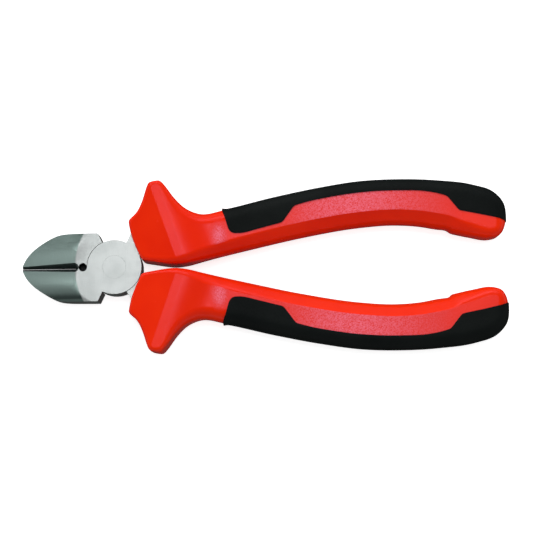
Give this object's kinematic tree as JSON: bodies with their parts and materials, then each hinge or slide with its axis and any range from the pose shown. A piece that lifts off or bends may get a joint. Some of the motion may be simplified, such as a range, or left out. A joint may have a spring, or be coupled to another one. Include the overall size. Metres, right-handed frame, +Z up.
{
  "type": "diagonal cutting pliers",
  "caption": "Small diagonal cutting pliers with forged lap-joint levers, a flush rivet and two-component grips with finger guards.",
  "frame": {"origin": "middle of the lying tool's outline, on the surface that it lies on", "axes": "+X from the jaw tips towards the handle ends, +Y across the tool, +Z up along the rivet"},
  "size_m": [0.1598, 0.0566, 0.0164],
  "materials": {
    "tool_steel": "forged tool steel, flat ground joint faces and darker linished jaws",
    "rivet_steel": "steel rivet, peened and ground flush with the joint faces",
    "sleeve_plastic": "glossy orange-red hard plastic, finely textured between the pads",
    "overlay_rubber": "matt black soft overlay with a fine grain"
  },
  "bodies": {
    "bottom_half": {"bottom_lever": "tool_steel", "rivet": "rivet_steel", "bottom_sleeve": "sleeve_plastic", "bottom_overlay": "overlay_rubber"},
    "top_half": {"top_lever": "tool_steel", "top_sleeve": "sleeve_plastic", "top_overlay": "overlay_rubber"}
  },
  "joints": [
    {"name": "rivet_joint", "type": "hinge", "parent": "bottom_half", "child": "top_half", "pos_m": [-0.04925, 0, 0.0082], "axis": [0, 0, 1], "range_deg": [0, 50]}
  ]
}
